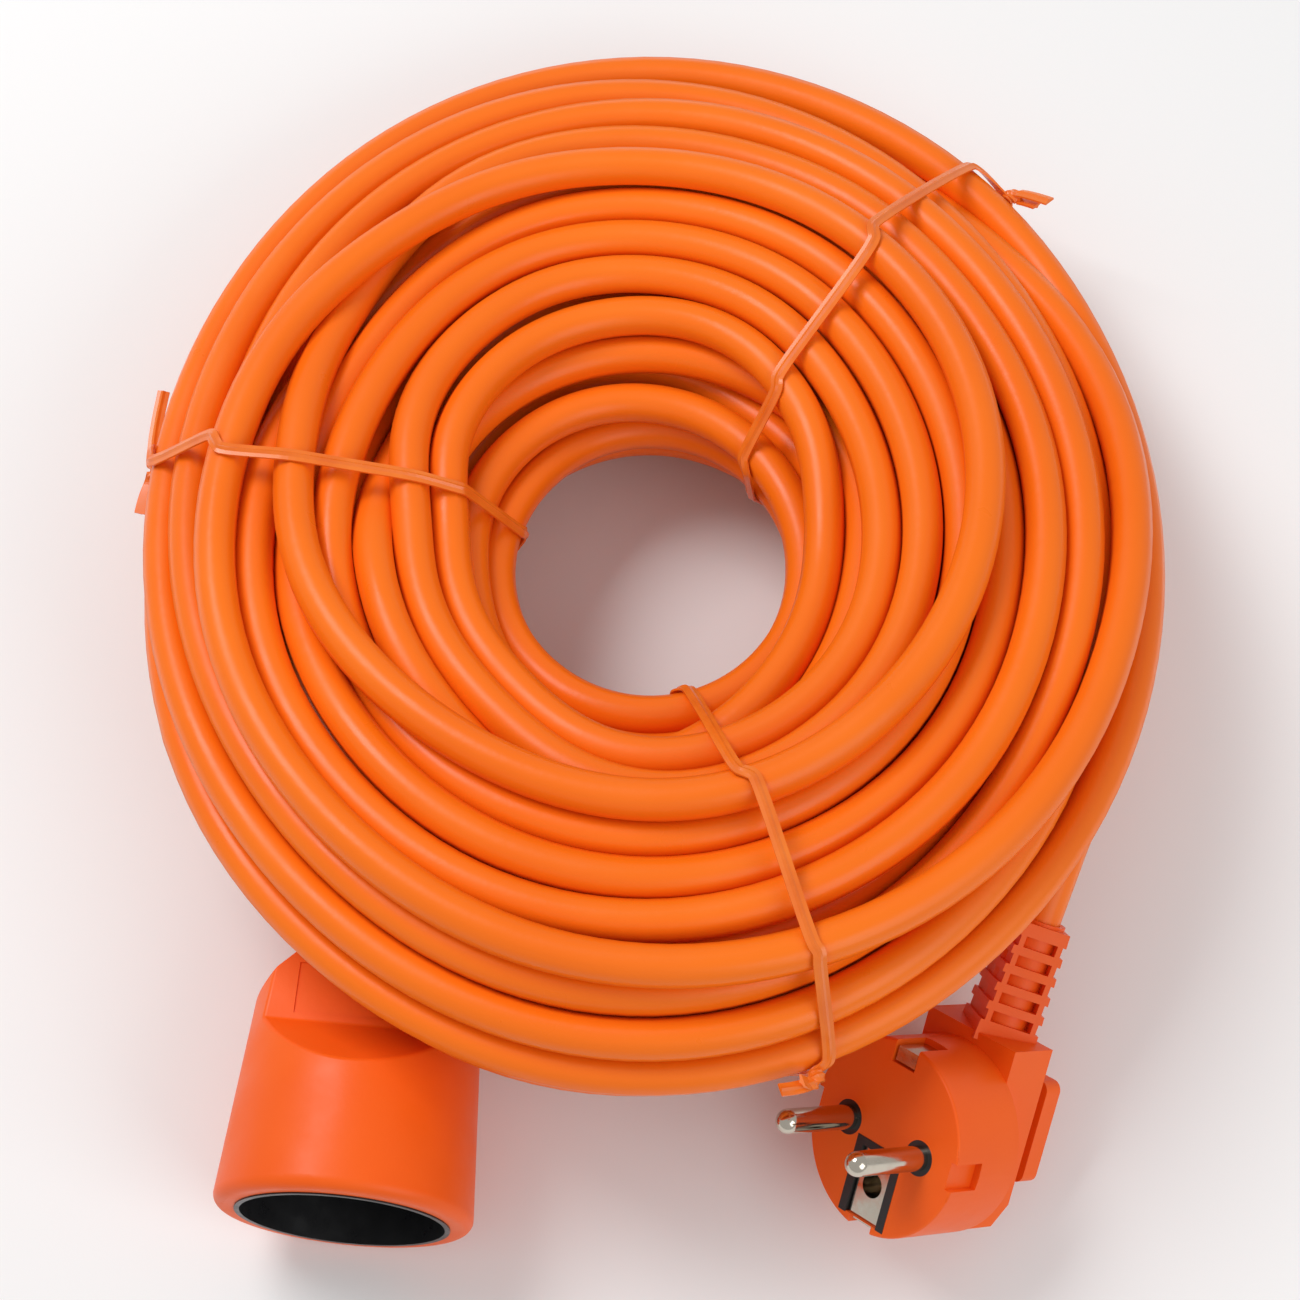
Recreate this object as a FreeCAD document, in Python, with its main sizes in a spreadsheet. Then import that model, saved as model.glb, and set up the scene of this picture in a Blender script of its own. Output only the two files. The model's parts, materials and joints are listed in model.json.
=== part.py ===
"""Coiled mains extension lead: a 20 m three-core cord wound into a ring, held by three twist
ties, with an angled plug on one end and a round earth-pin socket on the other.

Millimetres, +Z up. The lead lies on the plane Z = 0, and the origin is under the middle of its
bounding box. The far side of the coil rests on that plane, and its near side (-Y) rests on the
back of the socket and on the plug, which also lie on the plane.
"""
import FreeCAD, Part
import math
import os

import Sketcher

Vector = FreeCAD.Vector
Rotation = FreeCAD.Rotation
Placement = FreeCAD.Placement

# Driving dimensions: alias, value, what it is. Angles are in degrees, the rest in millimetres.
SIZES = [
    ("cord_diameter", 8.0, "round three-core PVC cord, 3 x 1.5 mm2"),
    ("core_diameter", 2.9, "insulated core"),
    ("copper_diameter", 1.6, "1.5 mm2 stranded conductor"),
    ("coil_radius", 64.3, "middle of the ring, across X"),
    ("coil_half_width", 36.3, "half the ring's width, across X"),
    ("coil_half_height", 25.0, "half the ring's thickness"),
    ("coil_stretch", 1.155, "the ring is this much longer in Y than in X"),
    ("coil_tilt", 9.5, "near side up, where it lies on the plug and the socket"),
    ("coil_centre_y", 10.9, "middle of the ring"),
    ("coil_centre_z", 37.9, "middle of the ring"),
    ("coil_gap", 0.4, "room between the ring and what it lies on"),
    ("tie_width", 2.5, "twist tie ribbon"),
    ("tie_thickness", 1.1, "twist tie ribbon"),
    ("tie_wire", 0.5, "steel wire inside the ribbon"),
    ("pin_radius", 2.4, "4.8 mm round pins"),
    ("pin_pitch", 19.0, "between the two line pins"),
    ("pin_length", 19.0, "beyond the face, with its round tip"),
    ("pin_shank_radius", 2.0, "held in the carrier"),
    ("pin_shank_length", 9.0, "behind the face"),
    ("plug_radius", 19.0, "round front of the plug"),
    ("plug_depth", 28.0, "face to the flat back"),
    ("plug_front_depth", 17.0, "round front that enters a recess"),
    ("plug_housing_half", 11.5, "half width of the housing behind the round front"),
    ("plug_housing_top", 21.5, "height of the housing over the axis"),
    ("plug_housing_foot", 15.0, "housing below the axis"),
    ("plug_cord_depth", 25.0, "cord's axis behind the face"),
    ("plug_chamfer_y", 8.5, "bevel at the foot of the back"),
    ("plug_chamfer_z", 6.5, "bevel at the foot of the back"),
    ("grip_width", 23.0, "plate for pulling the plug out"),
    ("grip_height", 21.0, "plate for pulling the plug out"),
    ("grip_thickness", 4.0, "plate for pulling the plug out"),
    ("grip_neck", 2.0, "gap between the plate and the back"),
    ("grip_middle", 3.7, "middle of the plate above the axis"),
    ("boot_length", 22.0, "strain relief of the plug"),
    ("boot_lean", 8.0, "strain relief leans back from the face"),
    ("boot_twist", -35.0, "strain relief turned about the cord"),
    ("boot_depth", 12.2, "strain relief at its root, across the windows"),
    ("boot_tip_depth", 9.6, "strain relief at its tip, across the windows"),
    ("boot_width", 12.0, "strain relief between its window faces"),
    ("boot_windows", 5, "on each side"),
    ("boot_window", 2.2, "along the cord"),
    ("boot_pitch", 3.9, "between windows"),
    ("sleeve_radius", 5.1, "soft sleeve round the cord, seen in the windows"),
    ("carrier_radius", 14.0, "black disc that holds the pins"),
    ("earth_offset", 10.0, "earth contact from the middle"),
    ("earth_bore_radius", 2.45, "female earth contact"),
    ("sleeve_wall", 0.75, "female earth contact"),
    ("mouth_radius", 25.0, "socket, outside of its mouth"),
    ("shoulder_radius", 22.0, "socket, where its shoulders start"),
    ("socket_length", 40.0, "mouth to shoulders"),
    ("lip_round", 2.2, "rounded lip of the mouth"),
    ("insert_radius", 20.6, "black insert, outside"),
    ("recess_radius", 19.6, "recess that the plug enters"),
    ("recess_depth", 16.0, "recess that the plug enters"),
    ("recess_floor", 3.0, "thickness of the contact face"),
    ("aperture_radius", 2.7, "line pin holes"),
    ("paddle_half", 12.5, "half thickness of the flat grip"),
    ("scoop_start", 24.0, "where the round side starts to slope to the grip"),
    ("scoop_end", 34.5, "where the slope meets the grip"),
    ("grip_round", 1.0, "rounded edges of the flat grip"),
    ("neck_half", 8.0, "half width where the boot starts"),
    ("neck_depth", 54.0, "mouth to the boot"),
    ("socket_boot_length", 24.0, "strain relief of the socket"),
    ("relief_radius", 7.4, "strain relief of the socket, at its root"),
    ("cavity_half_x", 15.0, "contact chamber"),
    ("cavity_half_y", 9.5, "contact chamber"),
    ("cavity_end", 39.0, "contact chamber"),
    ("shutter_half_x", 14.0, "shutter plate"),
    ("shutter_half_y", 3.1, "shutter plate, covering the line pin holes"),
    ("shutter_thickness", 2.6, "shutter plate"),
    ("shutter_travel", 6.2, "clears the line pin holes"),
    ("panel_depth", 0.35, "sunk panel on the flat grip"),
    ("plug_x", 44.1, "middle of the plug's face"),
    ("plug_y", -107.1, "middle of the plug's face"),
    ("plug_z", 31.74, "middle of the plug's face"),
    ("plug_azimuth", 193.5, "direction that the pins point in"),
    ("plug_elevation", 41.4, "direction that the pins point in"),
    ("plug_roll", 49.3, "cord side turned about the pins from the top"),
    ("socket_x", -58.4, "middle of the socket's mouth"),
    ("socket_y", -121.5, "middle of the socket's mouth"),
    ("socket_z", 24.93, "middle of the socket's mouth"),
    ("socket_yaw", 5.2, "mouth turned towards -X from -Y"),
    ("socket_pitch", 4.29, "mouth up, lying on its tapered side"),
]
# Where each twist tie goes round the ring, in degrees from +X.
TIE_ANGLES = {"tie_left": 168.0, "tie_right": 44.0, "tie_front": 291.0}
# The cord's own route from the plug's strain relief to where the coil takes it in.
PLUG_ROUTE = [(79.8, -53.3, 40.0), (84.8, -41.3, 42.4), (89.0, -27.7, 41.6), (91.8, -13.7, 38.8)]
# And from the socket's strain relief to where the coil takes it in.
SOCKET_ROUTE = [(-50.2, -32.1, 17.9), (-50.6, -19.7, 16.2), (-52.6, -6.7, 15.2), (-55.6, 6.5, 15.0)]

doc = FreeCAD.newDocument("extension_lead")
sheet = doc.addObject("Spreadsheet::Sheet", "Sizes")
for row, (alias, value, note) in enumerate(SIZES, start=1):
    sheet.set(f"A{row}", alias)
    sheet.set(f"B{row}", str(value))
    sheet.set(f"C{row}", note)
    sheet.setAlias(f"B{row}", alias)
doc.recompute()
size = {alias: float(getattr(sheet, alias)) for alias, _, _ in SIZES}
parts = {}


def frame_of(origin, z_axis, y_axis):
    """A placement whose Z and Y axes point along the two given directions."""
    x_axis = y_axis.cross(z_axis)
    return Placement(origin, Rotation(x_axis, y_axis, z_axis, "ZYX"))


def plug_frame():
    """+Z along the pins, +Y to the cord, origin in the middle of the face."""
    azimuth = math.radians(size["plug_azimuth"])
    lift = math.radians(size["plug_elevation"])
    flat = Vector(math.cos(azimuth), math.sin(azimuth), 0)
    pins = flat * math.cos(lift) + Vector(0, 0, math.sin(lift))
    top = Vector(0, 0, math.cos(lift)) - flat * math.sin(lift)
    cord_side = Rotation(pins, size["plug_roll"]).multVec(top)
    return frame_of(Vector(size["plug_x"], size["plug_y"], size["plug_z"]), pins, cord_side)


def socket_frame():
    """+Z out of the mouth, +Y up, origin in the middle of the mouth."""
    yaw = math.radians(size["socket_yaw"])
    pitch = math.radians(size["socket_pitch"])
    flat = Vector(-math.sin(yaw), -math.cos(yaw), 0)
    out = flat * math.cos(pitch) + Vector(0, 0, math.sin(pitch))
    up = Vector(0, 0, math.cos(pitch)) - flat * math.sin(pitch)
    return frame_of(Vector(size["socket_x"], size["socket_y"], size["socket_z"]), out, up)


def coil_frame():
    """+Z along the coil's axis."""
    centre = Vector(0, size["coil_centre_y"], size["coil_centre_z"])
    return Placement(centre, Rotation(Vector(1, 0, 0), -size["coil_tilt"]))


PLUG = plug_frame()
SOCKET = socket_frame()
COIL = coil_frame()


def bind(feature, **sizes):
    """Ties each named property to an expression over the sheet, written with bare aliases."""
    for name, expression in sizes.items():
        for alias in sorted(size, key=len, reverse=True):
            expression = expression.replace(alias, "@" + str(list(size).index(alias)) + "@")
        for index, alias in enumerate(size):
            expression = expression.replace("@" + str(index) + "@", "Sizes." + alias)
        feature.setExpression(name, expression)
    return feature


def cylinder(name, radius, height, base=(0, 0, 0), along=(0, 0, 1)):
    """A cylinder from base along a direction. radius and height are expressions."""
    solid = doc.addObject("Part::Cylinder", name)
    solid.Placement = Placement(Vector(*base), Rotation(Vector(0, 0, 1), Vector(*along)))
    return bind(solid, Radius=radius, Height=height)


def ball(name, radius, centre):
    """A whole sphere."""
    solid = doc.addObject("Part::Sphere", name)
    solid.Placement = Placement(Vector(*centre), Rotation())
    return bind(solid, Radius=radius)


def box(name, low, high):
    """A box from its lowest corner to its highest corner."""
    solid = doc.addObject("Part::Box", name)
    solid.Length, solid.Width, solid.Height = (b - a for a, b in zip(low, high))
    solid.Placement = Placement(Vector(*low), Rotation())
    return solid


def cut(name, base, tool):
    """base less tool."""
    result = doc.addObject("Part::Cut", name)
    result.Base = base
    result.Tool = tool
    return result


def fuse(name, shapes):
    """All shapes as one solid."""
    result = doc.addObject("Part::MultiFuse", name)
    result.Shapes = shapes
    result.Refine = True
    return result


def imprint(name, solids):
    """The room that finished pieces take up, to cut from what is moulded round them."""
    doc.recompute()
    shapes = [solid.Shape for solid in solids]
    feature = doc.addObject("Part::Feature", name)
    feature.Shape = shapes[0].multiFuse(shapes[1:])
    return feature


def keep(node, solid, frame):
    """Names a sub-part after its file and puts it in its place."""
    solid.Label = node
    solid.Placement = frame
    parts[node] = solid
    return solid


def new_body(name):
    """An empty PartDesign body."""
    return doc.addObject("PartDesign::Body", name)


def plane(body, role):
    """One of a body's own origin planes."""
    return next(f for f in body.Origin.OriginFeatures if f.Role == role)


def polygon_sketch(body, name, role, points, depth=0.0):
    """A closed outline on an origin plane, shifted along the plane's normal by depth."""
    sketch = body.newObject("Sketcher::SketchObject", name)
    sketch.AttachmentSupport = (plane(body, role), "")
    sketch.MapMode = "FlatFace"
    sketch.AttachmentOffset = Placement(Vector(0, 0, depth), Rotation())
    corners = [Vector(a, b, 0) for a, b in points]
    for start, end in zip(corners, corners[1:] + corners[:1]):
        sketch.addGeometry(Part.LineSegment(start, end), False)
    count = len(corners)
    for index in range(count):
        sketch.addConstraint(Sketcher.Constraint("Coincident", index, 2, (index + 1) % count, 1))
    return sketch


def circle_sketch(body, name, radii, depth=0.0, centre=(0, 0)):
    """Circles about one point on the XY plane, each radius bound to an alias."""
    sketch = body.newObject("Sketcher::SketchObject", name)
    sketch.AttachmentSupport = (plane(body, "XY_Plane"), "")
    sketch.MapMode = "FlatFace"
    sketch.AttachmentOffset = Placement(Vector(0, 0, depth), Rotation())
    for index, alias in enumerate(radii):
        circle = Part.Circle(Vector(centre[0], centre[1], 0), Vector(0, 0, 1), size[alias])
        sketch.addGeometry(circle, False)
        sketch.addConstraint(Sketcher.Constraint("Radius", index, size[alias]))
        sketch.setExpression(f"Constraints[{index}]", "Sizes." + alias)
    return sketch


def pad(body, name, sketch, length, symmetric=False, backwards=False):
    """Pads a sketch. length is an expression over the sheet."""
    feature = body.newObject("PartDesign::Pad", name)
    feature.Profile = sketch
    feature.Midplane = symmetric
    feature.Reversed = backwards
    bind(feature, Length=length)
    doc.recompute()
    return feature


def pocket(body, name, sketch, length, symmetric=False, backwards=False):
    """Pockets a sketch and makes sure that it took something away."""
    before = body.Shape.Volume
    feature = body.newObject("PartDesign::Pocket", name)
    feature.Profile = sketch
    feature.Midplane = symmetric
    feature.Reversed = backwards
    bind(feature, Length=length)
    doc.recompute()
    if body.Shape.Volume > before - 0.01:
        raise RuntimeError(name + " cuts nothing")
    return feature


def revolve(body, name, sketch):
    """Turns a sketch a whole turn about its own vertical axis."""
    feature = body.newObject("PartDesign::Revolution", name)
    feature.Profile = sketch
    feature.ReferenceAxis = (sketch, ["V_Axis"])
    feature.Angle = 360.0
    doc.recompute()
    return feature


def rounded(body, name, select, radius):
    """Fillets the edges of a body's tip that select picks."""
    tip = body.Tip
    names = [f"Edge{i}" for i, edge in enumerate(tip.Shape.Edges, start=1) if select(edge)]
    if not names:
        raise RuntimeError(name + " has no edges")
    feature = body.newObject("PartDesign::Fillet", name)
    feature.Base = (tip, names)
    feature.Radius = radius
    doc.recompute()
    if feature.Shape.isNull() or not feature.Shape.isValid():
        raise RuntimeError(name + " failed")
    return feature


# ---------------------------------------------------------------- cord


def smooth_path(points):
    """Straight runs joined by tangent arcs, each as large as its two runs allow."""
    points = [Vector(*p) for p in points]
    edges, radii = [], []
    start = points[0]
    for before, corner, after in zip(points, points[1:], points[2:]):
        incoming = (corner - before).normalize()
        outgoing = (after - corner).normalize()
        turn = incoming.getAngle(outgoing)
        reach = 0.45 * min((corner - before).Length, (after - corner).Length)
        radius = reach / math.tan(turn / 2)
        arc_start = corner - incoming * reach
        arc_end = corner + outgoing * reach
        inward = (outgoing - incoming).normalize()
        middle = corner + inward * (radius / math.cos(turn / 2) - radius)
        edges.append(Part.LineSegment(start, arc_start).toShape())
        edges.append(Part.Arc(arc_start, middle, arc_end).toShape())
        radii.append(radius)
        start = arc_end
    edges.append(Part.LineSegment(start, points[-1]).toShape())
    return Part.Wire(edges), radii


def cord_tube(name, points):
    """One solid round tube along a route."""
    path, radii = smooth_path(points)
    radius = size["cord_diameter"] / 2
    start = Vector(*points[0])
    heading = (Vector(*points[1]) - start).normalize()
    ring = Part.Wire([Part.Circle(start, heading, radius).toShape()])
    solid = path.makePipeShell([ring], True, False)
    expected = math.pi * radius**2 * path.Length
    print(f"{name}: length {path.Length:.1f}, volume / expected {solid.Volume / expected:.4f}")
    print(f"{name}: radii " + ", ".join(f"{r:.0f}" for r in radii))
    feature = doc.addObject("Part::Feature", name)
    feature.Shape = solid
    return feature


def in_frame(frame, point):
    """A point given in a connector's own axes, in the model's axes."""
    return tuple(frame.multVec(Vector(*point)))


LEAN = math.radians(size["boot_lean"])
BOOT_ROOT = (0, size["plug_housing_top"], -size["plug_cord_depth"])
BOOT_AXIS = (0, math.cos(LEAN), -math.sin(LEAN))
JACKET_START = 9.5
BOOT_REACH = size["boot_length"] + 0.6
plug_jacket_end = tuple(r - JACKET_START * a for r, a in zip(BOOT_ROOT, BOOT_AXIS))
plug_boot_end = tuple(r + BOOT_REACH * a for r, a in zip(BOOT_ROOT, BOOT_AXIS))
SOCKET_JACKET = size["cavity_end"] + 8.0
SOCKET_BOOT_END = size["neck_depth"] + size["socket_boot_length"]

# The jacket inside each strain relief is a straight cylinder of its own, so a route starts where
# its strain relief ends.
plug_end_route = [in_frame(PLUG, plug_boot_end)] + PLUG_ROUTE
socket_end_route = [in_frame(SOCKET, (0, 0, -SOCKET_BOOT_END))] + SOCKET_ROUTE
for title, route in (("plug", plug_end_route), ("socket", socket_end_route)):
    print(title, "route", [tuple(round(c, 2) for c in p) for p in route])


def straight_jacket(name, frame, start, end):
    """The jacket inside a strain relief, a plain cylinder in a connector's axes."""
    heading = Vector(*end) - Vector(*start)
    solid = doc.addObject("Part::Cylinder", name)
    bind(solid, Radius="cord_diameter / 2")
    solid.Height = heading.Length
    solid.Placement = frame.multiply(Placement(Vector(*start), Rotation(Vector(0, 0, 1), heading)))
    return solid


def cord_end(node, frame, start, end, route):
    """The free stretch at one end of the cord, with the jacket inside its strain relief."""
    inner = straight_jacket(node + "_jacket", frame, start, end)
    outer = cord_tube(node + "_tube", route)
    doc.recompute()
    return keep(node, fuse(node, [inner, outer]), Placement())


cord_end("cord_plug_end", PLUG, plug_jacket_end, plug_boot_end, plug_end_route)
cord_end(
    "cord_socket_end", SOCKET, (0, 0, -SOCKET_JACKET), (0, 0, -SOCKET_BOOT_END), socket_end_route
)

# ---------------------------------------------------------------- plug


def line_pin(name, side):
    """A solid round pin with a ball tip, a thinner shank and a crimp barrel."""
    x = side * size["pin_pitch"] / 2
    straight = size["pin_length"] - size["pin_radius"]
    shank = size["pin_shank_length"]
    barrel = 5
    return fuse(
        name,
        [
            cylinder(name + "_pin", "pin_radius", "pin_length - pin_radius", (x, 0, 0)),
            ball(name + "_tip", "pin_radius", (x, 0, straight)),
            cylinder(name + "_shank", "pin_shank_radius", "pin_shank_length", (x, 0, -shank)),
            cylinder(name + "_barrel", "pin_shank_radius - 0.4", str(barrel), (x, 0, -shank - barrel)),
        ],
    )


def plug_carrier():
    """Black carrier: a plate inside the plug with a collar for each pin and a window frame for
    the earth contact, all flush with the face."""
    half = size["pin_pitch"] / 2
    earth = -size["earth_offset"]
    plate_top, plate_back, beyond = -4.5, -7.5, 1.0
    frame_half, window_half, proud = 6.0, 4.1, 0.1
    plate = cylinder("carrier_plate", "carrier_radius", "3", (0, 0, plate_back))
    collars = [
        cylinder(f"carrier_collar_{i}", "pin_radius + 1", "4.5", (x, 0, plate_top))
        for i, x in enumerate((-half, half))
    ]
    frame = box(
        "carrier_frame", (-frame_half, earth - 7.2, plate_top), (frame_half, earth + 8.2, proud)
    )
    window = box(
        "carrier_window", (-window_half, earth - 9.0, plate_top), (window_half, earth + 6.6, beyond)
    )
    holes = [
        cylinder(f"carrier_hole_{i}", "pin_shank_radius", "9", (x, 0, plate_back - 0.5))
        for i, x in enumerate((-half, half))
    ]
    bore = cylinder(
        "carrier_earth_hole", "earth_bore_radius + sleeve_wall", "9", (0, earth, plate_back - 0.5)
    )
    solid = fuse("carrier_solid", [plate, frame] + collars)
    return cut("carrier", solid, fuse("carrier_holes", [window, bore] + holes))


def earth_band():
    """One strip of nickelled brass bent to a U: a spring leg in a notch on each side of the
    plug, and a front plate with a hole over the female contact."""
    earth = -size["earth_offset"]
    leg_half, plate_half, strip = 2.5, 3.8, 0.7
    inside, outside = 17.0, 17.0 + strip
    bend, top = -15.4, -0.5
    plate_top, plate_end, hook_end = -0.7, -3.6, 14.8
    front = box("band_front", (-plate_half, -inside, plate_top - strip), (plate_half, plate_end, plate_top))
    lower = box("band_lower", (-leg_half, -outside, bend), (leg_half, -inside, plate_top))
    link = box("band_link", (-leg_half, -outside, bend - strip), (leg_half, outside, bend))
    upper = box("band_upper", (-leg_half, inside, bend), (leg_half, outside, top))
    hook = box("band_hook", (-leg_half, hook_end, top - strip), (leg_half, inside, top))
    hole = cylinder("band_hole", "earth_bore_radius + sleeve_wall", "4", (0, earth, -3))
    solid = fuse("band_solid", [front, lower, link, upper, hook])
    return cut("band", solid, hole)


def earth_socket():
    """Female contact for the socket's earth pin."""
    earth = -size["earth_offset"]
    back, floor = -12.0, 1.0
    tube = cylinder("sleeve_tube", "earth_bore_radius + sleeve_wall", "11.3", (0, earth, back))
    bore = cylinder("sleeve_bore", "earth_bore_radius", "14", (0, earth, back + floor))
    return cut("sleeve", tube, bore)


def core_pair(node, frame, start, end):
    """One core of the cord: its insulation and the copper inside, stripped at both ends."""
    heading = Vector(*end) - Vector(*start)
    heading.normalize()
    length = (Vector(*end) - Vector(*start)).Length
    strip = 1.2
    first = tuple(Vector(*start) + heading * strip)
    along = tuple(heading)
    skin = cylinder(node + "_skin", "core_diameter / 2", str(length - 2 * strip), first, along)
    wire = cylinder(node + "_wire", "copper_diameter / 2", str(length), start, along)
    hollow = cylinder(node + "_hollow", "copper_diameter / 2", str(length), start, along)
    keep(node + "_insulation", cut(node + "_tube", skin, hollow), frame)
    keep(node + "_copper", wire, frame.multiply(wire.Placement))
    return skin, hollow


def plug_shell():
    """Round front and the narrower housing behind it, bevelled at its foot."""
    body = new_body("plug_shell")
    depth = size["plug_depth"]
    front = circle_sketch(body, "plug_front_outline", ["plug_radius"])
    pad(body, "plug_front", front, "plug_front_depth", backwards=True)
    half = size["plug_housing_half"]
    foot = -size["plug_housing_foot"]
    top = size["plug_housing_top"]
    housing = [(-half, foot), (half, foot), (half, top), (-half, top)]
    step = -size["plug_front_depth"]
    outline = polygon_sketch(body, "plug_housing_outline", "XY_Plane", housing, step)
    pad(body, "plug_housing", outline, "plug_depth - plug_front_depth", backwards=True)
    low = -size["plug_radius"]
    rise = size["plug_chamfer_y"]
    run = size["plug_chamfer_z"]
    bevel = [(low - 1, -depth - 1), (low + rise + 1, -depth - 1), (low - 1, -depth + run + 1)]
    outline = polygon_sketch(body, "plug_bevel_outline", "YZ_Plane", bevel)
    pocket(body, "plug_bevel", outline, "plug_radius * 4", symmetric=True)
    rounded(body, "plug_face_round", lambda e: abs(e.BoundBox.ZMin) < 1e-4, 0.5)
    return body


def grip():
    """Plate that stands off the plug's back on a narrower neck."""
    body = new_body("plug_grip")
    middle = size["grip_middle"]
    back = -size["plug_depth"]
    half_x = size["grip_width"] / 2
    half_y = size["grip_height"] / 2

    def outline(name, shrink, depth):
        x, y = half_x - shrink, half_y - shrink
        corners = [(-x, middle - y), (x, middle - y), (x, middle + y), (-x, middle + y)]
        return polygon_sketch(body, name, "XY_Plane", corners, depth)

    inset = 2.6
    neck = outline("grip_neck_outline", inset, back + 0.5)
    pad(body, "grip_neck", neck, "grip_neck + 0.5", backwards=True)
    plate = outline("grip_plate_outline", 0, back - size["grip_neck"])
    pad(body, "grip_plate", plate, "grip_thickness", backwards=True)
    upright = lambda e: abs(e.BoundBox.ZLength - size["grip_thickness"]) < 1e-3
    rounded(body, "grip_round", upright, 2.0)
    return body


def boot_placement():
    """The plug's strain relief: Z along the cord, X across its windows, turned about the cord."""
    across = Vector(0, math.sin(LEAN), math.cos(LEAN))
    axis = Vector(*BOOT_AXIS)
    upright = Rotation(across, axis.cross(across), axis, "ZXY")
    twist = Rotation(Vector(0, 0, 1), size["boot_twist"])
    return Placement(Vector(*BOOT_ROOT), upright.multiply(twist))


def plug_boot():
    """Flat tapered strain relief, with a row of windows on each side that show its sleeve.
    Made about the cord's axis and leaned back."""
    length = size["boot_length"]
    root = size["boot_depth"] / 2
    tip = size["boot_tip_depth"] / 2
    body = new_body("boot_flat")
    profile = [(-root, -2.5), (root, -2.5), (root, 0), (tip, length), (-tip, length), (-root, 0)]
    outline = polygon_sketch(body, "boot_outline", "XZ_Plane", profile)
    pad(body, "boot_block", outline, "boot_width", symmetric=True)
    first, frame_side, scallop = 1.6, 1.7, 0.7
    for index in range(int(size["boot_windows"])):
        low = first + index * size["boot_pitch"]
        high = low + size["boot_window"]
        width = root + (tip - root) * high / length - frame_side
        opening = [(-width, low), (width, low), (width, high), (-width, high)]
        name = f"boot_window_{index}"
        outline = polygon_sketch(body, name + "_outline", "XZ_Plane", opening)
        pocket(body, name, outline, "boot_width + 2", symmetric=True)
    # The scalloped edges: a shallow notch beside each rib on the two narrow faces.
    for index in range(int(size["boot_windows"])):
        low = first + index * size["boot_pitch"]
        high = low + size["boot_window"]
        edge = root + (tip - root) * (low + high) / 2 / length
        for side in (-1, 1):
            inner, outer = side * (edge - scallop), side * (edge + 2 * scallop)
            notch = [(inner, low), (outer, low), (outer, high), (inner, high)]
            name = f"boot_notch_{index}_{'left' if side < 0 else 'right'}"
            outline = polygon_sketch(body, name + "_outline", "XZ_Plane", notch)
            pocket(body, name, outline, "boot_width + 2", symmetric=True)
    sleeve = cylinder("boot_sleeve", "sleeve_radius", "boot_length + 2.6", (0, 0, -2))
    solid = fuse("boot_solid", [body, sleeve])
    # The body's Z runs along the cord, and its X runs across the windows, along the pins.
    solid.Placement = boot_placement()
    return solid


def build_plug():
    """Every piece of the plug, in the plug's own axes, moulded round its inner parts."""
    live = line_pin("pin_line", -1)
    neutral = line_pin("pin_neutral", 1)
    carrier = plug_carrier()
    band = earth_band()
    sleeve = earth_socket()
    half = size["pin_pitch"] / 2
    # The three cores fan out from the end of the jacket to the pins' barrels and the earth band.
    core_side, core_back, core_front = 2.7, 1.0, 2.4
    jacket_y, jacket_z = plug_jacket_end[1] - 0.8, plug_jacket_end[2]
    barrel_y, barrel_end = 0.6, -size["pin_shank_length"] - 5.8
    band_end = (0, 4.2, -16.7)
    cores = []
    for name, side in (("line", -1), ("neutral", 1)):
        start = (side * core_side, jacket_y, jacket_z - core_back)
        cores += core_pair("plug_core_" + name, PLUG, start, (side * half, barrel_y, barrel_end))
    cores += core_pair("plug_core_earth", PLUG, (0, jacket_y, jacket_z + core_front), band_end)
    outside, beyond = size["plug_radius"] + 2, 1.0
    notch_half, groove_half, groove_depth = 3.0, 2.7, 7.0
    groove_floor = size["plug_radius"] - 1.6
    upper_floor, upper_depth, lower_floor, lower_depth = 14.4, 8.0, 17.1, 13.0
    notch_up = box(
        "notch_upper", (-notch_half, upper_floor, -upper_depth), (notch_half, outside, beyond)
    )
    notch_low = box(
        "notch_lower", (-notch_half, -outside, -lower_depth), (notch_half, -lower_floor, beyond)
    )
    groove_a = box(
        "groove_right", (groove_floor, -groove_half, -groove_depth), (outside, groove_half, beyond)
    )
    groove_b = box(
        "groove_left", (-outside, -groove_half, -groove_depth), (-groove_floor, groove_half, beyond)
    )
    bore = cylinder("plug_cord_hole", "cord_diameter / 2", "60", plug_jacket_end, BOOT_AXIS)
    mouth = cylinder("plug_earth_mouth", "earth_bore_radius", "14", (0, -size["earth_offset"], -11))
    window_half, window_depth = 4.1, 4.5
    window = box("plug_window", (-window_half, -17.0, -window_depth), (window_half, -3.4, beyond))
    inner = [live, neutral, carrier, band, sleeve, bore, mouth, window]
    inner += [notch_up, notch_low, groove_a, groove_b]
    inner += cores
    outer = fuse("plug_outer", [plug_shell(), grip(), plug_boot()])
    keep("plug_body", cut("plug_moulded", outer, imprint("plug_inner", inner)), PLUG)
    keep("plug_pin_line", live, PLUG)
    keep("plug_pin_neutral", neutral, PLUG)
    keep("plug_carrier", carrier, PLUG)
    keep("plug_earth_band", band, PLUG)
    keep("plug_earth_sleeve", sleeve, PLUG)


# ---------------------------------------------------------------- socket


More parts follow.
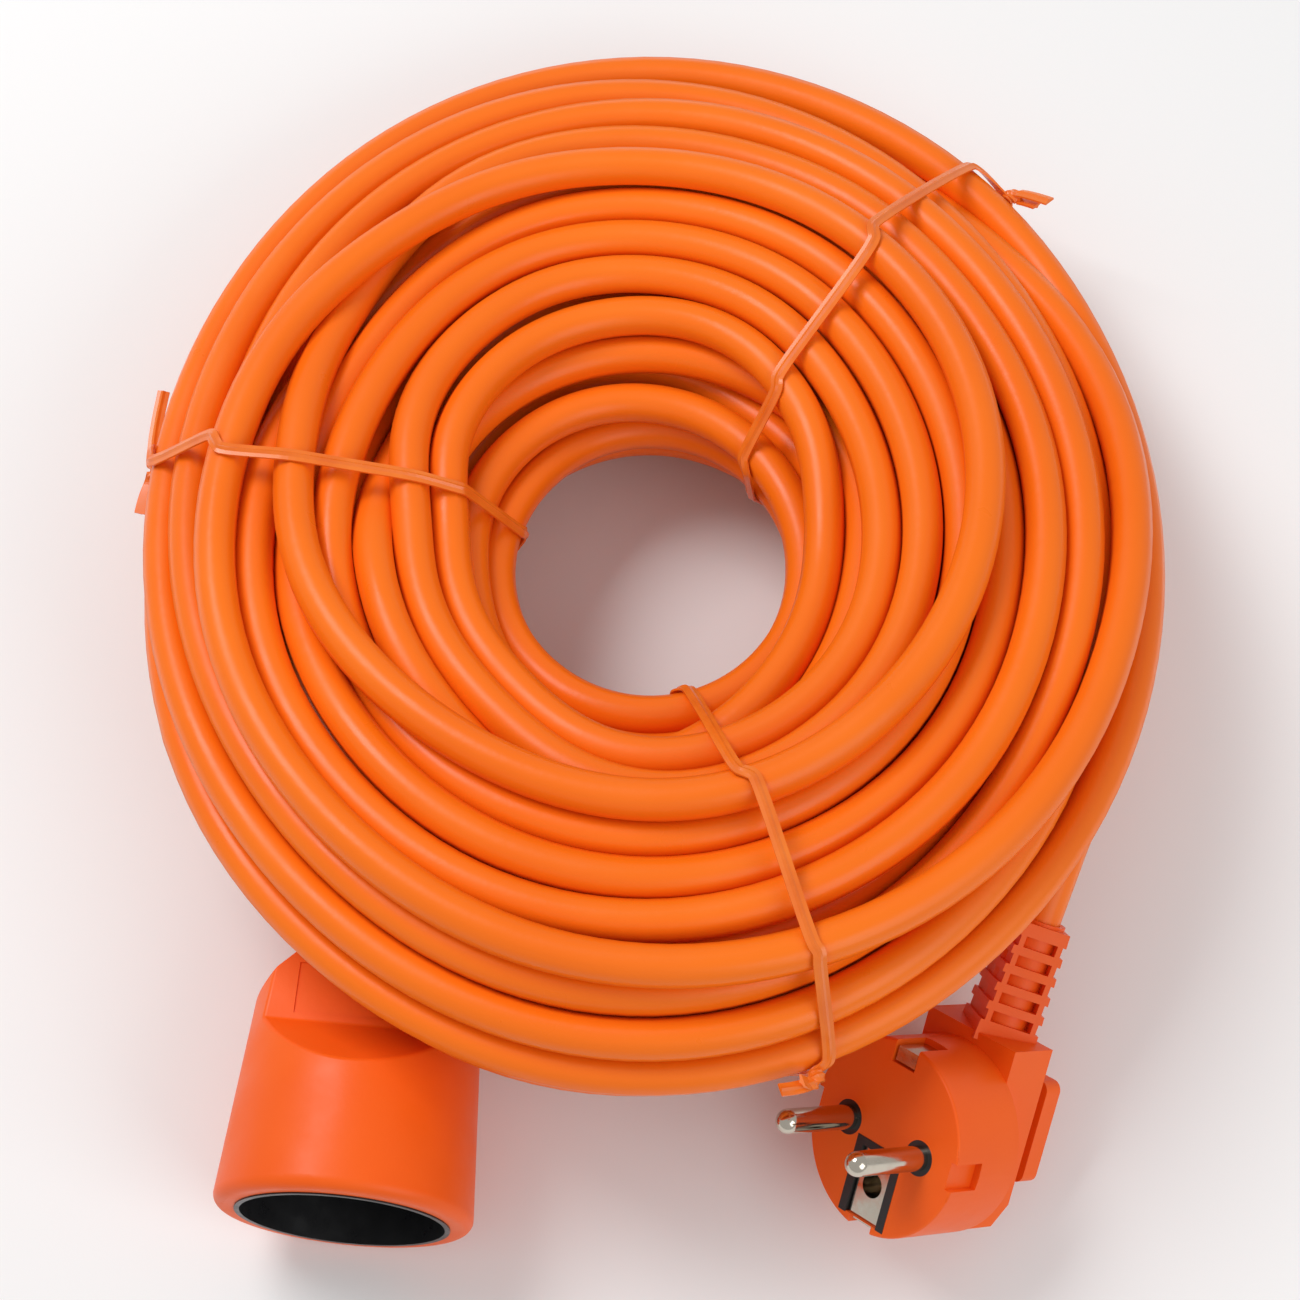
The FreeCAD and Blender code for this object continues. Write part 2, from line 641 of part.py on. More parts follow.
def socket_shell():
    """Tapered round mouth, sloping to a flat grip with 45 degree shoulders and a neck."""
    body = new_body("socket_body")
    mouth, length, half = size["mouth_radius"], size["socket_length"], size["paddle_half"]
    insert, neck, end = size["insert_radius"], size["neck_half"], size["neck_depth"]
    depth = size["recess_depth"] + size["recess_floor"]
    narrow = mouth - (mouth - size["shoulder_radius"]) * end / length
    profile = [(insert, 0), (mouth, 0), (narrow, -end), (0, -end), (0, -depth), (insert, -depth)]
    outline = polygon_sketch(body, "socket_profile", "XZ_Plane", profile)
    revolve(body, "socket_turned", outline)
    on_rim = lambda e: abs(e.BoundBox.ZMin) < 1e-4 and e.BoundBox.XMax > mouth - 0.1
    rounded(body, "socket_lip", on_rim, size["lip_round"])
    start, slope_end = size["scoop_start"], size["scoop_end"]
    for side, name in ((1, "upper"), (-1, "lower")):
        slope = [
            (side * half, -slope_end),
            (side * (mouth + 2), -start + 2.5),
            (side * (mouth + 2), -end - 2),
            (side * half, -end - 2),
        ]
        outline = polygon_sketch(body, f"scoop_{name}_outline", "YZ_Plane", slope)
        pocket(body, f"scoop_{name}", outline, "mouth_radius * 4", symmetric=True)
    for side, name in ((1, "right"), (-1, "left")):
        far, near, low = side * (neck + 18), side * (neck - 4), -end - 4
        corner = [(far, 18 - end), (far, low), (near, low)]
        outline = polygon_sketch(body, f"shoulder_{name}_outline", "XZ_Plane", corner)
        pocket(body, f"shoulder_{name}", outline, "mouth_radius * 4", symmetric=True)
    behind = lambda e: e.BoundBox.ZMax < -start + 2.5 and e.BoundBox.ZMin > -end + 0.01
    rounded(body, "socket_grip_round", behind, size["grip_round"])
    return body


def socket_boot():
    """Round ribbed strain relief behind the neck."""
    body = new_body("socket_relief")
    start, length = size["neck_depth"], size["socket_boot_length"]
    root, inside, collar = size["relief_radius"], 3.0, 1.0
    ribs, step, groove = 5, 0.28, 1.1
    profile = [(0, -start + inside), (root, -start + inside), (root, -start - collar)]
    pitch = (length - collar) / ribs
    for index in range(ribs):
        top = -start - collar - index * pitch
        outer = root - step * index
        rib = top - 0.4 * pitch
        profile += [(outer - groove, top), (outer - groove, rib), (outer - 0.1, rib)]
        profile += [(outer - step, top - pitch)]
    profile += [(0, -start - length)]
    outline = polygon_sketch(body, "relief_profile", "XZ_Plane", profile)
    revolve(body, "relief_turned", outline)
    return body


# The line contacts, from the mouth: back of the tube, end of the tail, and the tail's radius.
CONTACT_BACK, CONTACT_END, CONTACT_TAIL = -35.5, -40, 1.3


def contact_tube(name, x):
    """Line contact: a slit tube that grips a pin, with a tail to crimp."""
    slit_half, slit_reach, slit_back, slit_front = 0.35, 4, -33, -22
    tube = cylinder(name + "_tube", "pin_radius + 0.8", "13", (x, 0, CONTACT_BACK))
    tail = cylinder(name + "_tail", str(CONTACT_TAIL), "5", (x, 0, CONTACT_END))
    bore = cylinder(name + "_bore", "pin_radius", "12.5", (x, 0, CONTACT_BACK + 1.5))
    slit = box(
        name + "_slit", (x - slit_half, -slit_reach, slit_back), (x + slit_half, slit_reach, slit_front)
    )
    return cut(name + "_cut", fuse(name + "_solid", [tube, tail]), fuse(name + "_gap", [bore, slit]))


def shutter_plate():
    """Safety shutter: a plate over both line pin holes, with a ramp for each pin and a slot
    that houses its return spring."""
    body = new_body("shutter_body")
    half_x, half_y = size["shutter_half_x"], size["shutter_half_y"]
    top = -size["recess_depth"] - size["recess_floor"] - 0.2
    corners = [(-half_x, -half_y), (half_x, -half_y), (half_x, half_y), (-half_x, half_y)]
    outline = polygon_sketch(body, "shutter_outline", "XY_Plane", corners, top)
    pad(body, "shutter_pad", outline, "shutter_thickness", backwards=True)
    slot_half, slot_end, ramp_rise, ramp_edge = 1.7, 1.6, 1.9, 0.6
    slot_start = -half_y - 1
    slot = [(-slot_half, slot_start), (slot_half, slot_start), (slot_half, slot_end), (-slot_half, slot_end)]
    outline = polygon_sketch(body, "spring_slot_outline", "XY_Plane", slot, top)
    pocket(body, "spring_slot", outline, "shutter_thickness + 1")
    ramp = [(slot_start, top + 1), (slot_start, top - ramp_rise), (half_y - ramp_edge, top + 1)]
    for side, name in ((-1, "left"), (1, "right")):
        x = side * (size["pin_pitch"] / 2)
        outline = polygon_sketch(body, f"ramp_{name}_outline", "YZ_Plane", ramp, x)
        pocket(body, f"ramp_{name}", outline, "aperture_radius * 2", symmetric=True)
    return body


def build_socket():
    """Every piece of the socket, in the socket's own axes."""
    half = size["pin_pitch"] / 2
    earth = size["earth_offset"]
    floor = -size["recess_depth"]
    back = floor - size["recess_floor"]
    cup = cylinder("cup_outer", "insert_radius", "recess_depth + recess_floor + 0.3", (0, 0, back))
    hollow = cylinder("cup_hollow", "recess_radius", "recess_depth + 2", (0, 0, floor))
    holes = [
        cylinder(f"cup_hole_{i}", "aperture_radius", "8", (x, 0, back - 2))
        for i, x in enumerate((-half, half))
    ]
    shank_length, exposed = 24, 14
    shank = cylinder("earth_shank", "pin_shank_radius", str(shank_length), (0, earth, floor - shank_length))
    pin = cylinder("earth_round", "pin_radius", f"{exposed} - pin_radius", (0, earth, floor))
    tip = ball("earth_tip", "pin_radius", (0, earth, floor + exposed - size["pin_radius"]))
    earth_pin = fuse("earth_pin", [shank, pin, tip])
    insert = cut("insert", cup, fuse("insert_holes", [hollow, shank] + holes))
    contacts = [contact_tube("contact_line", -half), contact_tube("contact_neutral", half)]
    x, y, end = size["cavity_half_x"], size["cavity_half_y"], size["cavity_end"]
    chamber = box("chamber", (-x, -y, -end), (x, y, back))
    holder_front = -22
    block = box("block", (-x, -y, -end), (x, y, holder_front))
    rooms = [
        cylinder(f"room_{i}", "pin_radius + 0.9", "14", (cx, 0, CONTACT_BACK))
        for i, cx in enumerate((-half, half))
    ]
    tails = [
        cylinder(f"tail_room_{i}", str(CONTACT_TAIL), "6", (cx, 0, CONTACT_END))
        for i, cx in enumerate((-half, half))
    ]
    holder = cut("holder", block, fuse("holder_rooms", rooms + tails + [shank]))
    shutter = shutter_plate()
    spring_z, spring_along, through = -20.5, (0, 1, 0), 20
    spring = cylinder("spring_coil", "1.2", "cavity_half_y + 1.6", (0, -y, spring_z), spring_along)
    spring_hollow = cylinder("spring_hollow", "0.85", str(through), (0, -y - 1, spring_z), spring_along)
    # Where the cores part, behind the contacts.
    junction_half, bore_length = 12.5, 60
    junction = box("junction", (-junction_half, -y, -SOCKET_JACKET - 0.01), (junction_half, y, -end))
    bore_start = (0, 0, -SOCKET_JACKET - bore_length)
    bore = cylinder("socket_cord_hole", "cord_diameter / 2", str(bore_length), bore_start)
    core_side, core_low, core_high = 2.4, 1.0, 2.4
    start = -SOCKET_JACKET + 0.6
    tail_end, shank_end = -40.6, (0, 6.6, -40.2)
    for name, side in (("line", -1), ("neutral", 1)):
        jacket = (side * core_side, -core_low, start)
        core_pair("socket_core_" + name, SOCKET, jacket, (side * half, 0, tail_end))
    core_pair("socket_core_earth", SOCKET, (0, core_high, start), shank_end)
    outer = fuse("socket_outer", [socket_shell(), socket_boot()])
    panel_half, panel_back, panel_front = 13, -46, -36
    panel_floor = size["paddle_half"] - size["panel_depth"]
    panel = box("panel", (-panel_half, panel_floor, panel_back), (panel_half, 20, panel_front))
    inner = fuse("socket_inner", [chamber, junction, bore, shank, cup, panel])
    keep("socket_body", cut("socket_moulded", outer, inner), SOCKET)
    keep("socket_insert", insert, SOCKET)
    keep("socket_contact_holder", holder, SOCKET)
    keep("socket_contact_line", contacts[0], SOCKET)
    keep("socket_contact_neutral", contacts[1], SOCKET)
    keep("socket_earth_pin", earth_pin, SOCKET)
    keep("socket_shutter", shutter, SOCKET)
    keep("socket_shutter_spring", cut("spring", spring, spring_hollow), SOCKET)


# ---------------------------------------------------------------- coil and ties


def ring_solid():
    """The coil's outer shape: a torus stretched in Y and flattened in Z."""
    ring = Part.makeTorus(size["coil_radius"], size["coil_half_width"])
    stretch = FreeCAD.Matrix()
    stretch.A22 = size["coil_stretch"]
    stretch.A33 = size["coil_half_height"] / size["coil_half_width"]
    ring = ring.transformGeometry(stretch)
    ring.Placement = COIL.multiply(ring.Placement)
    return ring


def lying_under_coil():
    """Simple shapes, a little larger than the socket and the plug, that the coil gives way to."""
    gap = size["coil_gap"]
    shapes = []
    half = size["paddle_half"] + gap
    wide = size["shoulder_radius"] + gap
    grip_back, grip_length, mouth_length, relief_length = -54.5, 20, 36, 26
    grip_box = Part.makeBox(2 * wide, 2 * half, grip_length, Vector(-wide, -half, grip_back))
    mouth = size["mouth_radius"] + gap
    body = Part.makeCone(wide, mouth, mouth_length, Vector(0, 0, -mouth_length))
    relief_start = Vector(0, 0, -SOCKET_BOOT_END - 1)
    relief = Part.makeCylinder(size["relief_radius"] + gap, relief_length, relief_start)
    for shape in (grip_box, body, relief):
        shape.Placement = SOCKET.multiply(shape.Placement)
        shapes.append(shape)
    radius = size["plug_radius"] + gap
    depth = size["plug_depth"] + gap
    front = Part.makeCylinder(radius, depth, Vector(0, 0, -depth))
    wide, top = size["plug_housing_half"] + gap, size["plug_housing_top"] + gap
    housing_length = 13
    housing = Part.makeBox(2 * wide, top, housing_length, Vector(-wide, 0, -depth))
    for shape in (front, housing):
        shape.Placement = PLUG.multiply(shape.Placement)
        shapes.append(shape)
    wide, deep = size["boot_width"] / 2 + gap, size["boot_depth"] / 2 + gap
    boot = Part.makeBox(2 * deep, 2 * wide, size["boot_length"] + 2, Vector(-deep, -wide, -0.5))
    boot.Placement = PLUG.multiply(boot_placement())
    shapes.append(boot)
    return shapes


def build_coil():
    """The ring, less what lies under it and the two ends of the cord that run into it."""
    solid = ring_solid()
    print(f"ring volume {solid.Volume:.0f}")
    for shape in lying_under_coil():
        solid = solid.cut(shape)
    for node in ("cord_plug_end", "cord_socket_end"):
        solid = solid.cut(parts[node].Shape)
    solids = sorted(solid.Solids, key=lambda s: s.Volume, reverse=True)
    feature = doc.addObject("Part::Feature", "coil")
    feature.Shape = solids[0]
    keep("cord_coil", feature, Placement())


def ellipse_hoop(name, half_width, half_height, thickness, width):
    """A hoop of flat strip round an ellipse, made by padding the space between two ellipses."""
    body = new_body(name)
    sketch = body.newObject("Sketcher::SketchObject", name + "_outline")
    sketch.AttachmentSupport = (plane(body, "XZ_Plane"), "")
    sketch.MapMode = "FlatFace"
    centre = Vector(0, 0, 0)
    for grow in (0, thickness):
        major = Vector(half_width + grow, 0, 0)
        minor = Vector(0, half_height + grow, 0)
        sketch.addGeometry(Part.Ellipse(major, minor, centre), False)
    pad(body, name + "_strip", sketch, width, symmetric=True)
    return body


def build_tie(node, angle):
    """A plastic ribbon round the ring with a steel wire inside it."""
    stretch = size["coil_stretch"]
    slant = math.radians(angle)
    turn = math.atan2(math.sin(slant) / stretch, math.cos(slant))
    reach = math.hypot(math.cos(turn), stretch * math.sin(turn))
    half_width = size["coil_half_width"] * reach + size["coil_gap"]
    half_height = size["coil_half_height"] + size["coil_gap"]
    thickness, wire = size["tie_thickness"], size["tie_wire"]
    inset = (thickness - wire) / 2
    ribbon = ellipse_hoop(node + "_ribbon", half_width, half_height, thickness, "tie_width")
    core = ellipse_hoop(node + "_core", half_width + inset, half_height + inset, wire, "tie_wire")
    middle = size["coil_radius"] * reach
    place = Placement(
        Vector(middle * math.cos(slant), middle * math.sin(slant), 0),
        Rotation(Vector(0, 0, 1), angle),
    )
    ribbon.Placement = COIL.multiply(place)
    keep(node + "_wire", core, COIL.multiply(place))
    keep(node, cut(node + "_cut", ribbon, core), Placement())


build_plug()
build_socket()
doc.recompute()
build_coil()
for tie, angle in TIE_ANGLES.items():
    build_tie(tie, angle)
doc.recompute()

# ---------------------------------------------------------------- checks and files

for item in doc.Objects:
    if any(state in ("Invalid", "Error") for state in item.State):
        raise RuntimeError(f"{item.Name} failed: {item.State}")
os.makedirs("parts", exist_ok=True)
whole = FreeCAD.BoundBox()
for node, item in parts.items():
    shape = item.Shape
    if shape.isNull() or not shape.isValid():
        raise RuntimeError(node + " has no valid shape")
    print(f"{node}: {len(shape.Solids)} solid, {shape.Volume:.1f} mm3, z from {shape.BoundBox.ZMin:.2f}")
    whole.add(shape.BoundBox)
    shape.exportStep(f"parts/{node}.step")
print(f"{len(parts)} nodes, box {whole.XMin:.2f} {whole.YMin:.2f} {whole.ZMin:.2f}")
print(f"to {whole.XMax:.2f} {whole.YMax:.2f} {whole.ZMax:.2f}")
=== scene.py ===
"""Coiled extension lead: an orange 20 m cord in a ring held by three twist ties, its angled plug
and its round socket. The cord is one spline: its turns are wound row by row in a loop, and then
settled against each other, the floor and the connectors. Strands may still press into each other
by less than a millimetre. Metres in Blender; the winding is worked out in millimetres."""
import json
import math

import bpy
import numpy as np
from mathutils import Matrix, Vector


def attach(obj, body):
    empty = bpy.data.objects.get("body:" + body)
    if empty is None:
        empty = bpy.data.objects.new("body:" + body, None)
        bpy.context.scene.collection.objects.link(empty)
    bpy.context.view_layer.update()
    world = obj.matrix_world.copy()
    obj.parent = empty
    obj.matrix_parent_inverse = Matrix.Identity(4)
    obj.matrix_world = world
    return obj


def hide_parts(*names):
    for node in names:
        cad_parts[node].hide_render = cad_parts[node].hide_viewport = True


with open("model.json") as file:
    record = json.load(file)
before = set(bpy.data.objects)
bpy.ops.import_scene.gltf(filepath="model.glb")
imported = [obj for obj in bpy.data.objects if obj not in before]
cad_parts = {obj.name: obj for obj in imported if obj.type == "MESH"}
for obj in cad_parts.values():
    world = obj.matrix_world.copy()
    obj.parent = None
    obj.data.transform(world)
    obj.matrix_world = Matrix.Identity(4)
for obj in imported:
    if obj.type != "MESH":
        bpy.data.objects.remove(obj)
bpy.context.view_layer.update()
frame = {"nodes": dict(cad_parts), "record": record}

BODY = "lead"
MM = 0.001

# ---------------------------------------------------------------- camera

TARGET = Vector((0.0, 0.0013, 0.0))
CAMERA_DISTANCE = 0.650
CAMERA_ELEVATION = math.radians(71)
CAMERA_LENS, CAMERA_SENSOR = 85.6, 36


def make_camera():
    """A long lens looking down at the coil from the near side."""
    data = bpy.data.cameras.new("camera")
    data.lens = CAMERA_LENS
    data.sensor_width = CAMERA_SENSOR
    data.clip_start = 0.01
    camera = bpy.data.objects.new("camera", data)
    away = Vector((0, -math.cos(CAMERA_ELEVATION), math.sin(CAMERA_ELEVATION)))
    camera.location = TARGET + away * CAMERA_DISTANCE
    camera.rotation_euler = (-away).to_track_quat("-Z", "Y").to_euler()
    bpy.context.scene.collection.objects.link(camera)
    bpy.context.scene.camera = camera


make_camera()

# ---------------------------------------------------------------- connectors' own axes

MOUNTS = {mount["name"]: mount for mount in frame["record"]["mounts"]}
# How far each mount lies from its connector's face, along the face's own axis.
PIN_MIDDLE = 8.3
EARTH_DEPTH = 6.0
HOLE_DEPTH = 17.5
EARTH_PIN_MIDDLE = 10.2


def mount_point(name):
    """A mount's place in millimetres."""
    return np.array(MOUNTS[name]["pos_m"]) / MM


def unit(vector):
    """The vector at length 1."""
    return np.asarray(vector, float) / np.linalg.norm(vector)


class Axes:
    """A connector's own axes: Z out of its face, Y to the side of its cord or its top."""

    def __init__(self, origin, z_axis, towards_y):
        self.origin = np.asarray(origin, float)
        self.z = unit(z_axis)
        self.y = unit(towards_y - self.z * np.dot(towards_y, self.z))
        self.x = np.cross(self.y, self.z)
        self.turn = np.stack([self.x, self.y, self.z])

    def out(self, point):
        """From these axes to the model's."""
        return self.origin + np.asarray(point, float) @ self.turn

    def into(self, points):
        """From the model's axes to these."""
        return (np.asarray(points, float) - self.origin) @ self.turn.T


def plug_axes():
    """The plug's axes, from its pins and its earth contact."""
    z = np.array(MOUNTS["plug_line_pin"]["axis"])
    middle = (mount_point("plug_line_pin") + mount_point("plug_neutral_pin")) / 2
    face = middle - PIN_MIDDLE * z
    earth = mount_point("plug_earth_contact") + EARTH_DEPTH * z
    return Axes(face, z, face - earth)


def socket_axes():
    """The socket's axes, from its holes and its earth pin."""
    z = np.array(MOUNTS["socket_line_hole"]["axis"])
    middle = (mount_point("socket_line_hole") + mount_point("socket_neutral_hole")) / 2
    mouth = middle + HOLE_DEPTH * z
    earth = mount_point("socket_earth_pin") + EARTH_PIN_MIDDLE * z
    return Axes(mouth, z, earth - mouth)


PLUG = plug_axes()
SOCKET = socket_axes()

# ---------------------------------------------------------------- the cord

CORD = 8.0
# The ring that the turns fill: radius across X, half width and half thickness, its stretch in Y,
# and where it lies.
RING, HALF_WIDTH, HALF_HEIGHT, STRETCH = 64.3, 36.3, 25.0, 1.155
CENTRE = np.array([0.0, 10.9, 37.9])
TILT = math.radians(9.5)
# The route of the two free ends, from each strain relief to where the coil takes it in.
PLUG_ROUTE = [(79.8, -53.3, 40.0), (84.8, -41.3, 42.4), (89.0, -27.7, 41.6), (91.8, -13.7, 38.8)]
SOCKET_ROUTE = [(-50.2, -32.1, 17.9), (-50.6, -19.7, 16.2), (-52.6, -6.7, 15.2), (-55.6, 6.5, 15.0)]
# The strain reliefs: where the jacket starts inside each one, and where it comes out.
LEAN = math.radians(8)
BOOT_ROOT = np.array([0, 21.5, -25.0])
BOOT_AXIS = np.array([0, math.cos(LEAN), -math.sin(LEAN)])
BOOT_INSIDE, BOOT_LENGTH = 6.0, 22.6
PLUG_JACKET = PLUG.out(BOOT_ROOT - BOOT_INSIDE * BOOT_AXIS)
PLUG_EXIT = PLUG.out(BOOT_ROOT + BOOT_LENGTH * BOOT_AXIS)
SOCKET_JACKET = SOCKET.out((0, 0, -47.0))
SOCKET_EXIT = SOCKET.out((0, 0, -78.0))

# The winding: points in each turn, whole turns, and the ring angle and (radius, height) where the
# coil takes in the plug's end and the socket's.
STEPS = 60
TURNS = 44
START, END = math.radians(-13.0), math.radians(184.0)
START_AT, END_AT = (94.2, -3.2), (55.7, -24.5)
# The hole is nearly round and lies towards -Y, so the ring is wider on its far side. It reaches
# further out there too, and is flatter wherever it is wider.
HOLE_SHIFT, HOLE_ROUND = 3.5, 1.05
FAR_REACH = 2.1
FLATTENING = 0.4
# Rows of turns in the order that they are wound: height in the ring, turns, and whether the row
# runs inwards. A row is as wide as an ellipse ROW_MARGIN flatter than the ring is at its height.
ROW_MARGIN = 2.5
ROWS = [
    (-3.5, 9, True),
    (3.45, 9, False),
    (10.4, 8, True),
    (17.3, 5, False),
    (-10.45, 8, True),
    (-17.4, 5, False),
]
# After the top row: two turns that cross it, given as share across the ring and height, the part
# of a turn that a crossing takes, and how far these turns may stand out of the ring.
TOP_ROW = 3
CROSSINGS = [(-0.42, 23.5), (0.62, 21.0)]
CROSSING_TURN = 0.34
CROSSING_SLACK = 5.5
# One outer turn hangs out of the rim: its place in the winding, ring angle, reach and span.
BULGE_TURN, BULGE_ANGLE, BULGE, BULGE_SPAN = 1, 135.0, 6.0, 38.0


def spread_at(angle):
    """Distance between two stretched turns, for each millimetre between their radii."""
    return STRETCH / np.hypot(np.sin(angle), STRETCH * np.cos(angle))


def section_at(angle):
    """The ring's section: middle radius, half width, half height and middle height. Where it
    is wider it is flatter, and it stays on what it lies on."""
    far = np.sin(angle)
    shift = HOLE_SHIFT * far + HOLE_ROUND * far**2
    reach = FAR_REACH * np.maximum(0, far) ** 2
    half = HALF_WIDTH + shift + reach
    high = HALF_HEIGHT / (half * spread_at(angle) / HALF_WIDTH) ** FLATTENING
    return RING - shift + reach, half, high, high - HALF_HEIGHT


def wound_lanes():
    """Where each turn is laid: its number, share across the ring, share of the ring's height
    and how far it may stand out of the ring."""
    lanes = []
    for row, (height, turns, inwards) in enumerate(ROWS):
        level = height / (HALF_HEIGHT - ROW_MARGIN)
        half = (1 - CORD / 2 / HALF_WIDTH) * math.sqrt(1 - level**2)
        across = np.linspace(-half, half, turns)
        for share in across[::-1] if inwards else across:
            laid = math.floor(lanes[-1][0]) + 1 if lanes else 0
            lanes.append((laid, share, height / HALF_HEIGHT, 0.0))
        if row == TOP_ROW:
            for share, top in CROSSINGS:
                laid = math.ceil(lanes[-1][0]) + CROSSING_TURN
                lanes.append((laid, share, top / HALF_HEIGHT, CROSSING_SLACK))
    return np.array(lanes)


SEED = 9
# How far the strands stray: (radius, height) of the slow wander, and each loop's own shift.
STRAY = (2.4, 1.3)
STRAY_WINDOW = 20
LOOP_STRAY = 0.8
# The last part of a turn leads to the socket's end of the cord. It is laid TAIL_DROP below END_AT.
TAIL_TURN, TAIL_DROP = 0.3, 1.5
# The settling: rounds, the stiffness of the cord over one point and over three, the share of the
# rounds after which it is eased, the space that strands keep, and the room out of the ring.
ROUNDS, QUICK_ROUNDS = 900, 60
STIFFNESS, EASED_STIFFNESS, LONG_STIFFNESS = 0.5, 0.30, 0.008
EASED_FROM = 0.85
SPACE = CORD * 1.03
ROOM_ACROSS, ROOM_UP = 1.9, 1.2
# Shares of each lap, of each step out of the ring and of each sunk depth mended in one round.
LAP_SHARE, RING_SHARE, CLEAR_SHARE = 0.42, 0.8, 0.6
LAP_PASSES, SMOOTHINGS, LAST_CLEARINGS = 2, 2, 3
# Points at each end that stay where they are, and those that nothing pushes.
HELD, UNPUSHED = 2, 4


def slow_noise(random, count, window):
    """Two smooth random tracks of unit spread."""
    noise = random.normal(0, 1, (count, 2))
    kernel = np.ones(window) / window
    for _ in range(2):
        noise = np.stack([np.convolve(noise[:, i], kernel, "same") for i in range(2)], 1)
    return noise / noise.std(0)


def to_model(angle, place):
    """Points of the model for ring angles and (radius, height) places."""
    flat_y = STRETCH * place[:, 0] * np.sin(angle)
    x = place[:, 0] * np.cos(angle)
    y = flat_y * math.cos(TILT) + place[:, 1] * math.sin(TILT)
    z = place[:, 1] * math.cos(TILT) - flat_y * math.sin(TILT)
    return CENTRE + np.stack([x, y, z], 1)


def to_place(angle, move):
    """A small move in the model as a move of (radius, height)."""
    flat_y = move[:, 1] * math.cos(TILT) - move[:, 2] * math.sin(TILT)
    height = move[:, 1] * math.sin(TILT) + move[:, 2] * math.cos(TILT)
    return np.stack([move[:, 0] * np.cos(angle) + flat_y * np.sin(angle) / STRETCH, height], 1)


# What the coil lies on: rods (end, end, radius) and one box for the socket's flat grip.
RODS = [
    (SOCKET.out((0, 0, 2)), SOCKET.out((0, 0, -24)), 24.0),
    (SOCKET.out((0, 0, -52)), SOCKET.out((0, 0, -79)), 7.6),
    (PLUG.out((0, 0, 0)), PLUG.out((0, 0, -29)), 19.0),
    (PLUG.out((0, 8, -23)), PLUG.out((0, 12, -23)), 11.5),
    (PLUG.out(BOOT_ROOT), PLUG_EXIT, 6.6),
]
FREE_ENDS = [[PLUG_EXIT] + PLUG_ROUTE[:-1], [SOCKET_EXIT] + SOCKET_ROUTE[:-1]]
for free in FREE_ENDS:
    RODS += [(np.array(a, float), np.array(b, float), CORD / 2) for a, b in zip(free, free[1:])]
GRIP_LOW, GRIP_HIGH = np.array([-20.5, -12.5, -54.0]), np.array([20.5, 12.5, -26.0])
CLEARANCE = 0.1


def pushed_clear(points):
    """How far each centreline point has to move to lie on the floor and the connectors."""
    move = np.zeros_like(points)
    reach = CORD / 2 + CLEARANCE
    move[:, 2] = np.maximum(0, reach - points[:, 2])
    for start, end, radius in RODS:
        along = end - start
        share = np.clip((points - start) @ along / (along @ along), 0, 1)
        gap = points - start - share[:, None] * along
        distance = np.linalg.norm(gap, axis=1) + 1e-9
        move += gap / distance[:, None] * np.maximum(0, radius + reach - distance)[:, None]
    local = SOCKET.into(points)
    gap = local - np.clip(local, GRIP_LOW, GRIP_HIGH)
    distance = np.linalg.norm(gap, axis=1)
    gap[distance < 1e-6] = (0, 1, 0)
    push = gap / np.maximum(distance, 1)[:, None] * np.maximum(0, reach - distance)[:, None]
    return move + push @ SOCKET.turn


def first_winding(angle):
    """The turns as they are laid: (radius, height) of each point, and how far each may stand out
    of the ring."""
    random = np.random.default_rng(SEED)
    lanes = wound_lanes()
    count = len(angle)
    middle, half, high, rise = section_at(angle)
    progress = np.linspace(0, lanes[-1, 0], count)
    across, up, slack = (np.interp(progress, lanes[:, 0], lanes[:, i]) for i in (1, 2, 3))
    place = np.stack([middle + across * half, rise + up * high], 1)
    place += slow_noise(random, count, STRAY_WINDOW) * STRAY
    # Each loop is thrown a little off the ring's middle.
    loops = len(lanes) + 2
    thrown = random.normal(0, LOOP_STRAY, (loops, 2))
    thrown = [np.interp(progress, np.arange(loops), thrown[:, i]) for i in (0, 1)]
    place[:, 0] += thrown[0] * np.cos(angle) + thrown[1] * np.sin(angle)
    bulge_at = BULGE_TURN * 2 * math.pi + math.radians(BULGE_ANGLE)
    bulge = BULGE * np.exp(-(((angle - bulge_at) / math.radians(BULGE_SPAN)) ** 2))
    place[:, 0] += bulge
    tail = int(STEPS * TAIL_TURN)
    ramp = np.linspace(0, 1, tail)[:, None]
    place[-tail:] = place[-tail] * (1 - ramp) + np.array([END_AT[0], END_AT[1] - TAIL_DROP]) * ramp
    return place, slack + bulge


def stiffened(place, stiffness):
    """The strands drawn towards an even bend, with both ends held."""
    even = (4 * (place[1:-3] + place[3:-1]) - place[:-4] - place[4:]) / 6
    place[2:-2] += stiffness * (even - place[2:-2])
    straight = (place[:-6] + place[6:]) / 2
    place[3:-3] = (1 - LONG_STIFFNESS) * place[3:-3] + LONG_STIFFNESS * straight
    place[:HELD] = START_AT
    place[-HELD:] = END_AT
    return place


def cleared(angle, place, share):
    """The strands lifted off the floor and the connectors by a share of what they sink in."""
    move = pushed_clear(to_model(angle, place))
    move[:UNPUSHED] = move[-UNPUSHED:] = 0
    return place + to_place(angle, move) * share


